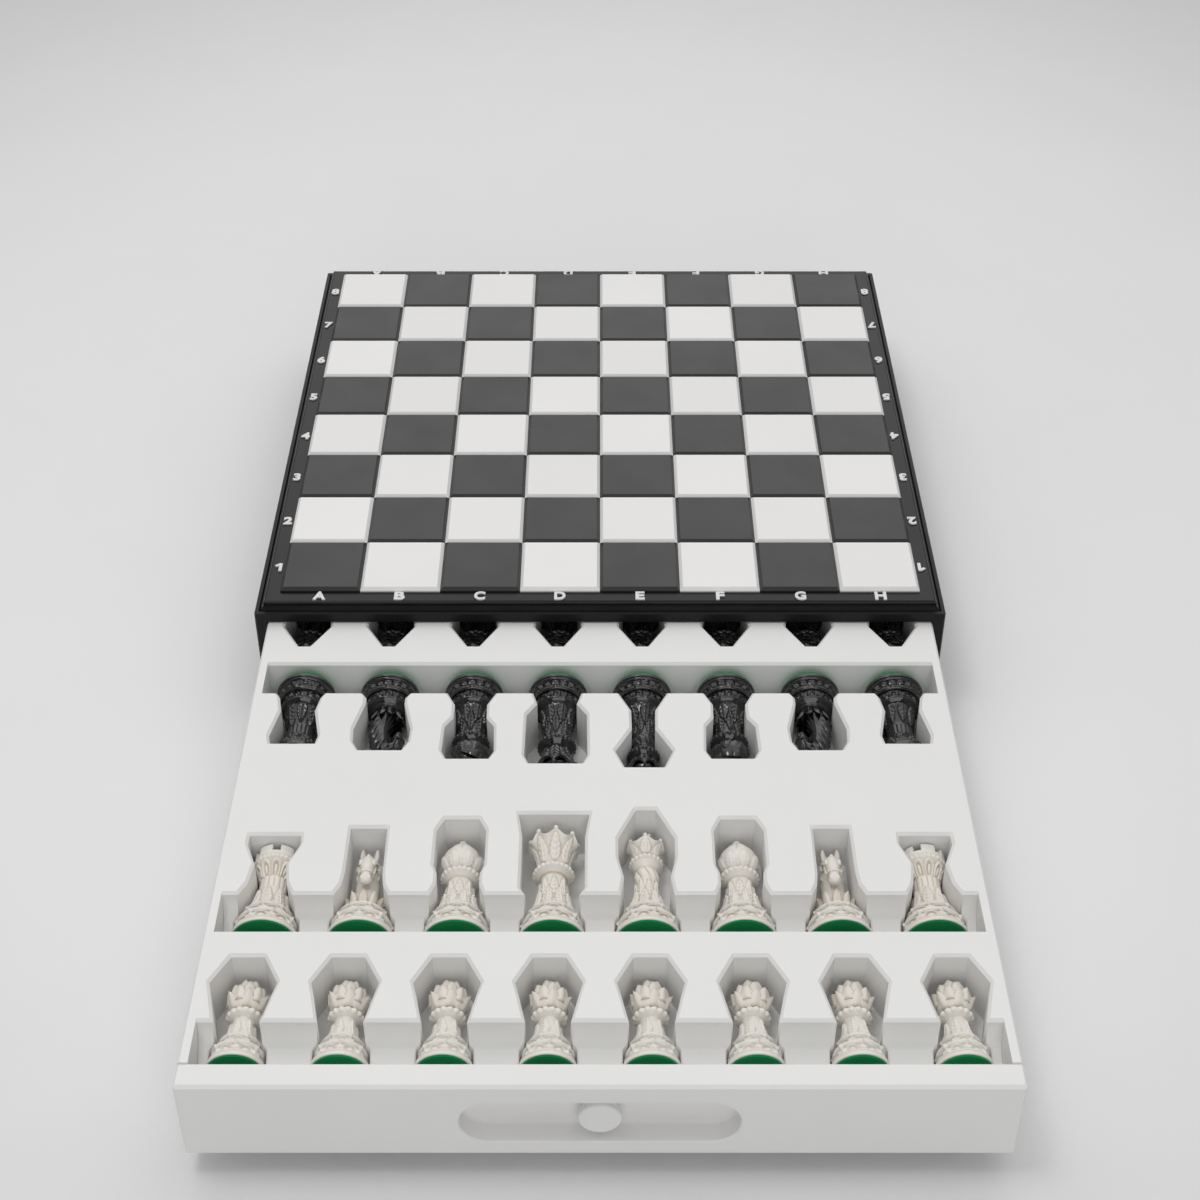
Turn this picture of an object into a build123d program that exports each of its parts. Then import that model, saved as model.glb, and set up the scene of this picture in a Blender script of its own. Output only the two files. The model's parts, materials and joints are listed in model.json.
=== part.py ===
"""Chess box: a lacquered board on a low case, with a deep drawer that holds the men in shaped pockets."""
from build123d import *
import os

# Driving sizes in millimetres. X points right, Y to the back and Z up.
# The origin is the middle of the case's underside. The drawer is drawn pulled out to its stop.

# Board: bevelled tiles on a panel with a stepped moulding round its edge.
squares_per_side = 8
square = 45.0
tile_gap = 0.1
tile_height = 2.7
tile_bevel = 1.7
border_flat = 7.1
ovolo = 1.45
moulding_step = 1.3
cove = 2.05
panel_edge = 3.0
board_gap = 0.7

# Case: walls stand on a thick bottom panel. Their ledges and thin lips carry and frame the board panel.
rim_lip = 2.2
wall = 6.5
base_thickness = 12.0
ledge = 3.0
case_corner = 0.8
rim_ease = 0.4

# Drawer: a front, two sides and a back round a bottom panel.
drawer_height = 48.0
front_thickness = 13.6
drawer_wall = 4.7
drawer_bottom_thickness = 6.0
front_bevel = 1.5
edge_bevel = 0.9
travel = 321.0
side_clearance = 0.5
top_clearance = 0.5
back_clearance = 3.3
running_gap = 0.3

# Finger recess and pull knob in the middle of the drawer's front.
recess_length = 125.5
recess_height = 27.0
recess_depth = 11.2
recess_drop = 1.1
recess_round = 2.0
recess_ease = 0.6
knob_diameter = 19.5
knob_head = 4.4
knob_setback = 1.9
knob_stem_diameter = 11.0
knob_round = 1.1
screw_diameter = 3.6
screw_head_diameter = 7.0
screw_head_height = 1.6
screw_bite = 6.0
screw_clearance = 0.1

# Glide strips under the drawer, and stop pins that run in two grooves of its bottom.
glide_width = 10.0
glide_thickness = 1.0
glide_inset = 12.0
glide_end_gap = 3.0
pin_diameter = 6.0
pin_spacing = 240.0
pin_inset = 20.0
pin_seat = 8.0
pin_reach = 3.0
pin_clearance = 0.05
groove_clearance = 0.4

# Rows of pockets. Men lie on their sides, with their bases in a trough.
finger_gap = 6.15
pawn_band = 16.0
officer_end = 20.8
pawn_end = 18.0
base_below_deck = 0.5
seat_gap = 0.3
pocket_end_gap = 1.25
mouth_clearance = 2.2
pocket_bevel = 1.4

# Men, drawn for a board of 45 mm squares and sized with the squares.
drawn_square = 45.0
officer_base_radius = 16.2
pawn_base_radius = 13.5
pedestal_height = 17.25
pedestal_draw = 5.4
felt_thickness = 1.2
felt_inset = 0.5
pawn_height = 54.5
rook_height = 56.0
knight_height = 61.0
bishop_height = 67.5
queen_height = 71.0
king_height = 74.0

# Places worked out from the driving sizes.
board_half = squares_per_side * square / 2
panel_half = board_half + border_flat + ovolo + cove
case_half = panel_half + board_gap + rim_lip
drawer_half = case_half - wall - side_clearance
deck_half = drawer_half - drawer_wall
drawer_length = 2 * case_half - wall - back_clearance
drawer_front_y = -case_half - travel
drawer_back_y = drawer_front_y + drawer_length
drawer_middle_y = drawer_front_y + drawer_length / 2

glide_top = base_thickness + glide_thickness
drawer_foot = glide_top + running_gap
deck = drawer_foot + drawer_height
opening_top = deck + top_clearance
ledge_top = opening_top + ledge
rim = ledge_top + panel_edge
cove_top = rim + cove
border_top = cove_top + moulding_step + ovolo
insert_foot = drawer_foot + drawer_bottom_thickness

scale = square / drawn_square
trough_width = finger_gap + pedestal_height * scale
axis_z = deck - base_below_deck - officer_base_radius * scale
knob_z = drawer_foot + drawer_height / 2 - recess_drop
recess_back_y = drawer_front_y + recess_depth
pin_y = -case_half + pin_inset
pin_top = drawer_foot + pin_reach


UPRIGHT = (Align.CENTER, Align.CENTER, Align.MIN)


def block(x, y, z):
    """A box from its low and high corner along each axis."""
    low = (x[0], y[0], z[0])
    size = (x[1] - x[0], y[1] - y[0], z[1] - z[0])
    return Pos(*low) * Box(*size, align=Align.MIN)


# Case

def board_seat():
    """The space inside the lips where the board panel lies."""
    half = case_half - rim_lip
    return block((-half, half), (-half, half), (ledge_top, rim + panel_edge))


def case_right_side():
    side = block((case_half - wall, case_half), (-case_half, case_half), (base_thickness, rim))
    side = chamfer(side.edges().filter_by(Axis.Z).group_by(Axis.X)[-1], case_corner)
    outer_top = side.edges().filter_by(Axis.Y).group_by(Axis.Z)[-1].sort_by(Axis.X)[-1]
    side = chamfer(outer_top, rim_ease)
    return side - board_seat()


def case_left_side():
    return mirror(case_right_side(), about=Plane.YZ)


def case_back():
    inner = case_half - wall
    back = block((-inner, inner), (inner, case_half), (base_thickness, rim))
    outer_top = back.edges().filter_by(Axis.X).group_by(Axis.Z)[-1].sort_by(Axis.Y)[-1]
    return chamfer(outer_top, rim_ease) - board_seat()


def case_front_rail():
    inner = case_half - wall
    rail = block((-inner, inner), (-case_half, -inner), (opening_top, rim))
    front = rail.edges().filter_by(Axis.X).group_by(Axis.Y)[0]
    return chamfer(front, rim_ease) - board_seat()


def case_bottom():
    panel = block((-case_half, case_half), (-case_half, case_half), (0, base_thickness))
    panel = chamfer(panel.edges().filter_by(Axis.Z), case_corner)
    for x in pin_places():
        hole = Cylinder(pin_diameter / 2 + pin_clearance, pin_seat, align=UPRIGHT)
        panel -= Pos(x, pin_y, base_thickness - pin_seat) * hole
    return panel


def board_panel():
    """Panel with a cove, a step and an ovolo round its upper edge, rabbeted to drop inside the walls."""
    inner = case_half - wall - board_gap
    core = block((-inner, inner), (-inner, inner), (opening_top, ledge_top))
    low = block((-panel_half, panel_half), (-panel_half, panel_half), (ledge_top, cove_top))
    low = chamfer(low.faces().sort_by(Axis.Z)[-1].edges(), cove)
    half = panel_half - cove
    top = block((-half, half), (-half, half), (cove_top, border_top))
    top = fillet(top.faces().sort_by(Axis.Z)[-1].edges(), ovolo)
    return core + low + top


def tiles(colour):
    """All tiles of one colour. The near left corner is dark."""
    side = square - tile_gap
    tile = Box(side, side, tile_height, align=UPRIGHT)
    tile = chamfer(tile.faces().sort_by(Axis.Z)[-1].edges(), tile_bevel)
    laid = []
    for column in range(squares_per_side):
        for row in range(squares_per_side):
            if (column + row) % 2 == colour:
                x = (column + 0.5) * square - board_half
                y = (row + 0.5) * square - board_half
                laid.append(Pos(x, y, border_top) * tile)
    return Compound(laid)


def glide_strips():
    outer = drawer_half - glide_inset
    inner = case_half - wall - glide_end_gap
    strip = block((outer - glide_width, outer), (-inner, inner), (base_thickness, glide_top))
    return Compound([strip, mirror(strip, about=Plane.YZ)])


def pin_places():
    return (-pin_spacing / 2, pin_spacing / 2)


def stop_pins():
    foot = base_thickness - pin_seat
    pin = Cylinder(pin_diameter / 2, pin_top - foot, align=UPRIGHT)
    return Compound([Pos(x, pin_y, foot) * pin for x in pin_places()])


# Drawer

def front_plane(y):
    """Upright plane facing the front, centred on the knob."""
    return Plane(origin=(0, y, knob_z), x_dir=(1, 0, 0), z_dir=(0, -1, 0))


def drawer_front():
    """Front with a stadium-shaped finger recess that holds the knob."""
    back_y = drawer_front_y + front_thickness
    front = block((-drawer_half, drawer_half), (drawer_front_y, back_y), (drawer_foot, deck))
    front = chamfer(front.edges().filter_by(Axis.Z).group_by(Axis.Y)[0], edge_bevel)
    front = chamfer(front.edges().filter_by(Axis.Y).group_by(Axis.Z)[-1], edge_bevel)
    front = chamfer(front.edges().filter_by(Axis.X).group_by(Axis.Y)[0], front_bevel)
    inner_top = front.edges().filter_by(Axis.X).group_by(Axis.Y)[-1].sort_by(Axis.Z)[-1]
    front = chamfer(inner_top, pocket_bevel)
    slot = SlotOverall(recess_length, recess_height)
    recess = extrude(front_plane(drawer_front_y) * slot, -recess_depth)
    recess = fillet(recess.faces().sort_by(Axis.Y)[-1].edges(), recess_round)
    front -= recess
    mouth = front.faces().filter_by(Axis.Y).sort_by(Axis.Y)[0].inner_wires()[0]
    front = chamfer(mouth.edges(), recess_ease)
    hole = Cylinder(screw_diameter / 2 + screw_clearance, 2 * front_thickness)
    return front - front_plane(recess_back_y) * hole


def pull_knob():
    """Turned knob: a round head on a thinner stem, with a blind hole for the screw."""
    reach = recess_depth - knob_setback
    stem = Cylinder(knob_stem_diameter / 2, reach, align=UPRIGHT)
    head = Cylinder(knob_diameter / 2, knob_head, align=UPRIGHT)
    head = fillet(head.edges().filter_by(GeomType.CIRCLE), knob_round)
    knob = stem + Pos(0, 0, reach - knob_head) * head
    knob -= Cylinder(screw_diameter / 2 + screw_clearance, screw_bite + screw_clearance, align=UPRIGHT)
    return front_plane(recess_back_y) * knob


def knob_screw():
    """Screw from inside the drawer, with its pan head against the front's inner face."""
    wall_left = front_thickness - recess_depth
    shank = Cylinder(screw_diameter / 2, screw_bite + wall_left, align=UPRIGHT)
    head = Cylinder(screw_head_diameter / 2, screw_head_height, align=UPRIGHT)
    screw = shank + Pos(0, 0, -screw_head_height) * head
    return front_plane(drawer_front_y + front_thickness) * screw


def drawer_right_side():
    front_y = drawer_front_y + front_thickness
    side = block((deck_half, drawer_half), (front_y, drawer_back_y), (drawer_foot, deck))
    outer_top = side.edges().filter_by(Axis.Y).group_by(Axis.Z)[-1].sort_by(Axis.X)[-1]
    return chamfer(outer_top, edge_bevel)


def drawer_left_side():
    return mirror(drawer_right_side(), about=Plane.YZ)


def drawer_back():
    y = (drawer_back_y - front_thickness, drawer_back_y)
    back = block((-deck_half, deck_half), y, (drawer_foot, deck))
    return chamfer(back.edges().filter_by(Axis.X).group_by(Axis.Z)[-1], pocket_bevel)


def drawer_bottom():
    """Bottom panel with two blind grooves that stop the drawer both ways."""
    y = (drawer_front_y + front_thickness, drawer_back_y - front_thickness)
    panel = block((-deck_half, deck_half), y, (drawer_foot, insert_foot))
    width = pin_diameter + 2 * groove_clearance
    groove = SlotOverall(travel + width, width, rotation=90)
    middle_y = pin_y - travel / 2
    for x in pin_places():
        panel -= extrude(Pos(x, middle_y, drawer_foot) * groove, pin_reach + groove_clearance)
    return panel


# Men

def turned(steps):
    """Solid turned about Z from (radius, height, bulge) steps. A bulge is a curve's rise off its chord."""
    line = Line((0, steps[0][1]), steps[0][:2])
    for (radius, height, _), (end_radius, end_height, bulge) in zip(steps, steps[1:]):
        start = Vector(radius, height)
        end = Vector(end_radius, end_height)
        outward = Vector(end.Y - start.Y, start.X - end.X).normalized()
        if bulge:
            line += Bezier(start, (start + end) / 2 + outward * 2 * bulge, end)
        else:
            line += Line(start, end)
    top = steps[-1][1]
    line += Line(steps[-1][:2], (0, top))
    line += Line((0, top), (0, steps[0][1]))
    return revolve(Plane.XZ * make_face(line), Axis.Z)


def pedestal_steps(base_radius):
    """Foot, two bands and two rings, which every man has."""
    return [
        (base_radius, felt_thickness, 0),
        (base_radius, felt_thickness + 2.0, 0),
        (base_radius - 1.4, felt_thickness + 3.2, 0.3),
        (base_radius - 2.8, 9.4, -0.4),
        (base_radius - 2.0, 9.8, 0),
        (base_radius - 2.0, 11.2, 0.6),
        (base_radius - 3.6, 11.7, 0),
        (base_radius - 4.8, 15.2, -0.3),
        (base_radius - 4.2, 15.5, 0),
        (base_radius - 4.2, 16.7, 0.5),
        (base_radius - pedestal_draw, pedestal_height, 0),
    ]


def figure_steps(base_radius, height, body):
    """Pedestal steps, then body steps at shares of the height above the pedestal."""
    rise = height - pedestal_height
    above = [(radius, pedestal_height + share * rise, bulge) for radius, share, bulge in body]
    return pedestal_steps(base_radius) + above


pawn_body = [
    (7.0, 0.03, 0), (4.9, 0.27, -0.6), (5.2, 0.33, 0), (7.4, 0.36, 0), (7.4, 0.42, 0.4),
    (5.4, 0.45, 0), (10.0, 0.62, 1.0), (6.6, 0.82, 0.7), (0.6, 1.0, 0.6),
]
rook_body = [
    (9.6, 0.03, 0), (6.6, 0.45, -0.8), (6.6, 0.56, 0), (10.4, 0.76, -0.5), (11.2, 0.79, 0),
    (11.2, 1.0, 0), (7.8, 1.0, 0), (7.8, 0.88, 0),
]
bishop_body = [
    (9.6, 0.03, 0), (6.0, 0.36, -0.9), (6.4, 0.42, 0), (9.0, 0.46, 0), (9.0, 0.5, 0.5),
    (6.4, 0.54, 0), (9.8, 0.68, 0.9), (7.6, 0.82, 0.5), (1.4, 0.94, 0.6), (2.2, 0.965, 0.3), (0.6, 1.0, 0.6),
]
queen_body = [
    (9.6, 0.03, 0), (6.2, 0.38, -1.0), (6.4, 0.44, 0), (9.4, 0.48, 0), (9.4, 0.52, 0.5),
    (6.8, 0.56, 0), (7.6, 0.62, 0), (12.8, 0.9, -1.0), (10.8, 0.9, 0), (9.2, 0.83, 0),
    (3.0, 0.915, 1.0), (1.6, 0.925, 0), (2.4, 0.96, 0.3), (0.6, 1.0, 0.6),
]
king_body = [
    (9.6, 0.03, 0), (5.2, 0.28, -1.0), (5.2, 0.5, 0), (7.6, 0.585, 0), (7.6, 0.62, 0.4),
    (5.8, 0.65, 0), (6.4, 0.69, 0), (9.4, 0.82, -0.5), (7.8, 0.82, 0), (6.8, 0.78, 0),
    (2.4, 0.87, 1.0), (1.5, 0.88, 0), (1.5, 0.94, 1.5),
]


def ring_of(count, tool):
    """Copies of a tool spread round the Z axis."""
    return [Rot(Z=360 * i / count) * tool for i in range(count)]


def pawn():
    return turned(figure_steps(pawn_base_radius, pawn_height, pawn_body))


def rook():
    """Tower with six merlons round a hollow head."""
    merlons = 6
    notch_width = 3.4
    notch_depth = 4.2
    tower = turned(figure_steps(officer_base_radius, rook_height, rook_body))
    reach = officer_base_radius
    half = notch_width / 2
    notch = block((0, reach), (-half, half), (rook_height - notch_depth, rook_height + notch_depth))
    return tower - ring_of(merlons, notch)


def bishop():
    """Mitre with a slanted cleft."""
    cleft_width = 1.6
    cleft_tilt = 35
    cleft_share = 0.76
    cleft_start = 2.5
    mitre = turned(figure_steps(officer_base_radius, bishop_height, bishop_body))
    cleft_z = pedestal_height + cleft_share * (bishop_height - pedestal_height)
    sideways = (Align.MIN, Align.CENTER, Align.CENTER)
    cleft = Box(officer_base_radius, 2 * officer_base_radius, cleft_width, align=sideways)
    return mitre - Pos(cleft_start, 0, cleft_z) * Rot(Y=-cleft_tilt) * cleft


def queen():
    """Coronet with eight points, cut by round scallops."""
    points = 8
    scallop_radius = 3.4
    scallop_start = 5.5
    scallop_rise = 1.2
    rim_share = 0.9
    coronet = turned(figure_steps(officer_base_radius, queen_height, queen_body))
    rim_z = pedestal_height + rim_share * (queen_height - pedestal_height)
    scallop = Cylinder(scallop_radius, officer_base_radius, align=UPRIGHT)
    cutter = Rot(Z=180 / points) * Pos(scallop_start, 0, rim_z + scallop_rise) * Rot(Y=90) * scallop
    return coronet - ring_of(points, cutter)


def king():
    """Crown with six notches, an orb and a cross."""
    notches = 6
    notch_radius = 2.4
    notch_start = 4.5
    notch_rise = 0.9
    rim_share = 0.82
    cross_share = 0.93
    arm = 6.4
    bar = 2.2
    crown = turned(figure_steps(officer_base_radius, king_height, king_body))
    rise = king_height - pedestal_height
    rim_z = pedestal_height + rim_share * rise
    notch = Cylinder(notch_radius, officer_base_radius, align=UPRIGHT)
    crown -= ring_of(notches, Pos(notch_start, 0, rim_z + notch_rise) * Rot(Y=90) * notch)
    foot_z = pedestal_height + cross_share * rise
    upright = block((-bar / 2, bar / 2), (-bar / 2, bar / 2), (foot_z, king_height))
    arms_z = (king_height - 1.5 * bar, king_height - 0.5 * bar)
    arms = block((-arm / 2, arm / 2), (-bar / 2, bar / 2), arms_z)
    return crown + upright + arms


def knight_head():
    """Horse's head: a side outline and a front outline, each extruded and crossed."""
    def at(x, share):
        return (x, pedestal_height + share * (knight_height - pedestal_height))

    nape = Spline(at(-7.2, 0), at(-9.4, 0.33), at(-7.6, 0.61), at(-3.4, 0.82))
    ear = Polyline(at(-3.4, 0.82), at(-1.2, 1), at(2.2, 0.83))
    face = Spline(at(2.2, 0.83), at(6.6, 0.77), at(9.2, 0.65), at(9.6, 0.5), at(8.6, 0.36))
    muzzle = Spline(at(8.6, 0.36), at(7.4, 0.32), at(5.8, 0.34))
    jaw = Spline(at(5.8, 0.34), at(4.8, 0.41), at(3.4, 0.43))
    chest = Spline(at(3.4, 0.43), at(3.6, 0.3), at(5.8, 0.14), at(7.2, 0))
    side = make_face(nape + ear + face + muzzle + jaw + chest + Line(at(7.2, 0), at(-7.2, 0)))
    front = Polyline(
        at(-7.0, 0), at(-6.4, 0.5), at(-5.2, 0.8), at(-4.4, 1), at(0, 0.86),
        at(4.4, 1), at(5.2, 0.8), at(6.4, 0.5), at(7.0, 0), close=True,
    )
    reach = officer_base_radius
    return extrude(Plane.XZ * side, reach, both=True) & extrude(Plane.YZ * make_face(front), reach, both=True)


def knight():
    body = [(9.6, 0.02, 0), (9.6, 0.04, 0)]
    return turned(figure_steps(officer_base_radius, knight_height, body)) + knight_head()


def felt(base_radius):
    return Cylinder(base_radius - felt_inset, felt_thickness, align=UPRIGHT)


def widest(base_radius, body):
    """Largest radius of a turned figure above its pedestal, curves included."""
    return max([base_radius - pedestal_draw] + [radius + max(bulge, 0) for radius, share, bulge in body])


class Man:
    """A kind of man, with how far it reaches below its axis when it lies in a pocket of each colour.

    Pocket outlines are half-widths at shares of the pocket's length, from the mouth to the end.
    """

    def __init__(self, figure, base_radius, height, below, white_pocket, black_pocket):
        self.figure = figure
        self.base_radius = base_radius
        self.height = height
        self.below = below
        self.pockets = {"white": white_pocket, "black": black_pocket}

    def pocket_length(self):
        return (self.height - pedestal_height) * scale + pocket_end_gap

    def solids(self):
        return [self.figure(), felt(self.base_radius)]


def turned_man(figure, base_radius, height, body, white_pocket, black_pocket):
    reach = widest(base_radius, body)
    return Man(figure, base_radius, height, {"white": reach, "black": reach}, white_pocket, black_pocket)


def horse_man(white_pocket, black_pocket):
    """Ivory horses lie on their manes and black ones on their cheeks."""
    box = knight_head().bounding_box()
    neck = officer_base_radius - pedestal_draw
    below = {"white": max(-box.min.X, neck), "black": max(box.max.Y, neck)}
    return Man(knight, officer_base_radius, knight_height, below, white_pocket, black_pocket)


men = {
    "pawn": turned_man(
        pawn, pawn_base_radius, pawn_height, pawn_body,
        [(0.39, 13.6), (0.6, 15.6), (1.0, 7.7)],
        [(0.55, 13.0), (1.0, 3.1)],
    ),
    "rook": turned_man(
        rook, officer_base_radius, rook_height, rook_body,
        [(0.19, 9.4), (0.5, 7.7), (0.84, 13.0), (1.0, 12.8)],
        [(0.1, 10.8), (0.36, 9.0), (0.85, 12.8), (1.0, 11.7)],
    ),
    "knight": horse_man(
        [(0.15, 10.0), (0.31, 9.2), (1.0, 9.0)],
        [(0.09, 10.4), (0.2, 10.4), (0.64, 15.0), (0.86, 14.5), (1.0, 11.3)],
    ),
    "bishop": turned_man(
        bishop, officer_base_radius, bishop_height, bishop_body,
        [(0.13, 10.5), (0.28, 10.5), (0.38, 12.4), (0.84, 12.4), (1.0, 8.6)],
        [(0.18, 8.6), (0.39, 8.8), (0.52, 13.0), (0.89, 13.7), (1.0, 11.0)],
    ),
    "queen": turned_man(
        queen, officer_base_radius, queen_height, queen_body,
        [(0.08, 15.6), (0.72, 15.6), (1.0, 17.8)],
        [(0.16, 10.5), (0.32, 16.0), (0.89, 16.5), (1.0, 14.0)],
    ),
    "king": turned_man(
        king, officer_base_radius, king_height, king_body,
        [(0.2, 11.3), (0.42, 14.0), (0.65, 14.0), (1.0, 5.0)],
        [(0.24, 6.4), (0.5, 6.2), (0.79, 15.0), (1.0, 10.2)],
    ),
}

officer_order = ["rook", "knight", "bishop", "queen", "king", "bishop", "knight", "rook"]
pawn_order = ["pawn"] * squares_per_side


def columns(end_margin):
    """X places of a row of eight men between the drawer's sides."""
    first = end_margin - deck_half
    pitch = -2 * first / (squares_per_side - 1)
    return [first + i * pitch for i in range(squares_per_side)]


# Row inserts: a trough along one edge, and a pocket behind it for each man.

pawn_row_y = drawer_front_y + front_thickness
pawn_row_length = trough_width + men["pawn"].pocket_length() + pawn_band
officer_row_y = pawn_row_y + pawn_row_length
middle_plane = Plane(origin=(0, drawer_middle_y, 0), x_dir=(1, 0, 0), z_dir=(0, 1, 0))


def pocket_outline(man, colour, x, mouth_y):
    """Closed outline of a pocket, the same to both sides of its man's axis."""
    length = man.pocket_length()
    mouth = (man.base_radius - pedestal_draw) * scale + mouth_clearance
    half = [(mouth, 0)] + [(width * scale, share * length) for share, width in man.pockets[colour]]
    right = [(x + width, mouth_y + depth) for width, depth in half]
    left = [(x - width, mouth_y + depth) for width, depth in reversed(half)]
    return make_face(Polyline(*right, *left, close=True))


def row_insert(colour, order, end_margin, y, trough_behind):
    """One row's insert, drawn with its trough to the front. Edges along troughs and pockets are eased."""
    base_radius = men[order[0]].base_radius * scale
    trough_floor = axis_z - base_radius - seat_gap
    mouth_y = y[0] + trough_width
    insert = block((-deck_half, deck_half), y, (insert_foot, deck))
    insert -= block((-deck_half, deck_half), (y[0], mouth_y), (trough_floor, deck))
    for x, name in zip(columns(end_margin), order):
        man = men[name]
        floor = axis_z - man.below[colour] * scale - seat_gap
        outline = Pos(0, 0, floor) * pocket_outline(man, colour, x, mouth_y)
        insert -= extrude(outline, deck - floor)
    hair = 0.01
    edges = insert.faces().sort_by(Axis.Z)[-1].edges()
    eased = edges.filter_by(lambda edge: abs(edge.center().X) < deck_half - hair)
    if not trough_behind:
        eased = eased.filter_by(lambda edge: edge.center().Y < y[1] - hair)
    return chamfer(eased, pocket_bevel)


def lay(solids, colour, x, base_y, turn):
    """Lay a man on its side. Ivory heads point to the back and black heads to the front."""
    tip = -90 if colour == "white" else 90
    place = Pos(x, base_y, axis_z) * Rot(X=tip) * Rot(Z=turn)
    return Compound([place * solid.scale(scale) for solid in solids])


def knight_turn(colour, x):
    """Ivory horses look up, and black ones lie on their cheeks and look to the middle."""
    if colour == "white":
        return -90
    return 0 if x < 0 else 180


def row_of_men(colour, order, end_margin, base_y):
    """Named men of one row, from left to right."""
    named = {}
    made = {name: men[name].solids() for name in set(order)}
    for i, (x, name) in enumerate(zip(columns(end_margin), order)):
        if name == "pawn":
            title = f"{colour}_pawn_{i + 1}"
        elif order.count(name) == 2:
            title = f"{colour}_{name}_{'left' if x < 0 else 'right'}"
        else:
            title = f"{colour}_{name}"
        turn = knight_turn(colour, x) if name == "knight" else 0
        named[title] = lay(made[name], colour, x, base_y, turn)
    return named


def mirrored_y(y):
    """The same distance from the drawer's other end."""
    return 2 * drawer_middle_y - y


pawn_rows_y = (pawn_row_y, officer_row_y)
officer_rows_y = (officer_row_y, drawer_middle_y)
black_pawn_insert = row_insert("black", pawn_order, pawn_end, pawn_rows_y, True)
black_officer_insert = row_insert("black", officer_order, officer_end, officer_rows_y, False)

nodes = {
    "case_bottom": case_bottom(),
    "case_left_side": case_left_side(),
    "case_right_side": case_right_side(),
    "case_back": case_back(),
    "case_front_rail": case_front_rail(),
    "board_panel": board_panel(),
    "dark_tiles": tiles(0),
    "light_tiles": tiles(1),
    "glide_strips": glide_strips(),
    "stop_pins": stop_pins(),
    "drawer_front": drawer_front(),
    "drawer_left_side": drawer_left_side(),
    "drawer_right_side": drawer_right_side(),
    "drawer_back": drawer_back(),
    "drawer_bottom": drawer_bottom(),
    "pull_knob": pull_knob(),
    "knob_screw": knob_screw(),
    "white_pawn_insert": row_insert("white", pawn_order, pawn_end, pawn_rows_y, True),
    "white_officer_insert": row_insert("white", officer_order, officer_end, officer_rows_y, False),
    "black_officer_insert": mirror(black_officer_insert, about=middle_plane),
    "black_pawn_insert": mirror(black_pawn_insert, about=middle_plane),
}

pawn_base_y = pawn_row_y + finger_gap
officer_base_y = officer_row_y + finger_gap
nodes.update(row_of_men("white", pawn_order, pawn_end, pawn_base_y))
nodes.update(row_of_men("white", officer_order, officer_end, officer_base_y))
nodes.update(row_of_men("black", officer_order, officer_end, mirrored_y(officer_base_y)))
nodes.update(row_of_men("black", pawn_order, pawn_end, mirrored_y(pawn_base_y)))

os.makedirs("parts", exist_ok=True)
for name, shape in nodes.items():
    shape.label = name
    export_step(shape, f"parts/{name}.step")
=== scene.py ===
import bpy
import json
import math
import numpy as np
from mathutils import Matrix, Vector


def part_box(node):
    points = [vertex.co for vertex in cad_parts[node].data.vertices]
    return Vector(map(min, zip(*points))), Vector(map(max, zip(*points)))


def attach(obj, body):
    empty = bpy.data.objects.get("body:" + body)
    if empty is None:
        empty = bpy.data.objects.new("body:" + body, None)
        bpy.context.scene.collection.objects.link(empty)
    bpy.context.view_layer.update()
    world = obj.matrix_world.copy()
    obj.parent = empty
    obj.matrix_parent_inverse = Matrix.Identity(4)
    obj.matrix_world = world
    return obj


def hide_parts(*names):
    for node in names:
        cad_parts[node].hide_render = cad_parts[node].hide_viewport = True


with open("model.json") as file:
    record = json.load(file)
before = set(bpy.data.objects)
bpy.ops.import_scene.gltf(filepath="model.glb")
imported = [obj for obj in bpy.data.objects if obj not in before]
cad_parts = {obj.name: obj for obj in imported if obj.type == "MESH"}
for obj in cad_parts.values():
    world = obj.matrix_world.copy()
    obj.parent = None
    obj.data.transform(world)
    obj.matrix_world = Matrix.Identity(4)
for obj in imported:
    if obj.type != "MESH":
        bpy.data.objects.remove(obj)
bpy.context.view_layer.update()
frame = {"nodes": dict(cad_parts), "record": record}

# Case. A thick bottom panel, two sides, a back and a rail over the drawer's opening, glued up from board
# and sprayed with black lacquer. The lacquer is semi-gloss, with a fine orange-peel skin and dull patches.
nodes = frame["nodes"]
case_pieces = ["case_bottom", "case_left_side", "case_right_side", "case_back", "case_front_rail"]


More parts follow.
